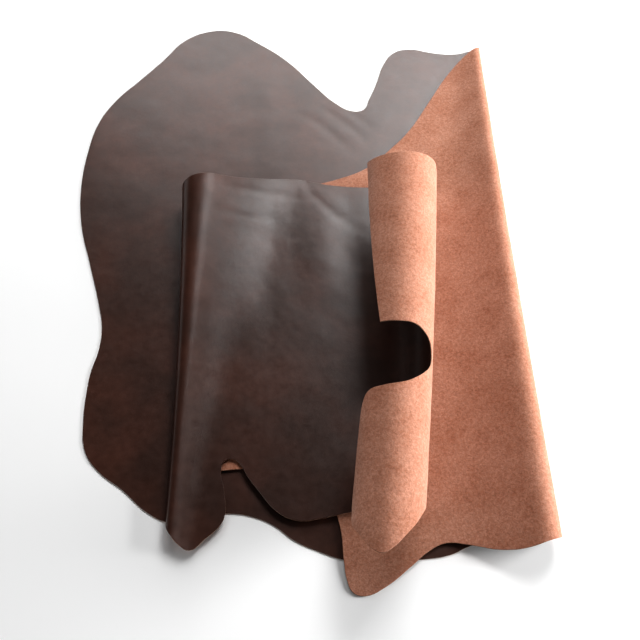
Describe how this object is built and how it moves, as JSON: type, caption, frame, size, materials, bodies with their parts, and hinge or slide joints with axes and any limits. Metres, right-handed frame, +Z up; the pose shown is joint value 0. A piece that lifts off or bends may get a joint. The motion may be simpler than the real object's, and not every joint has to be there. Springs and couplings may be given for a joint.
{
  "type": "leather side",
  "caption": "Side of tanned cowhide with a smooth dark brown grain face and a tan napped flesh face, folded back and forth and ending in a loose roll.",
  "frame": {"origin": "middle of the bottom of the box around the folded side, on the surface that it lies on", "axes": "+Z up from the surface, +Y along the folds towards the far end, +X towards the first fold"},
  "size_m": [0.9506, 1.3444, 0.1608],
  "materials": {
    "brown_leather": "smooth dark brown grain face with a soft sheen, tan napped flesh face and pale raw cut edge"
  },
  "bodies": {
    "root": {"leather_side": "brown_leather"}
  },
  "joints": []
}
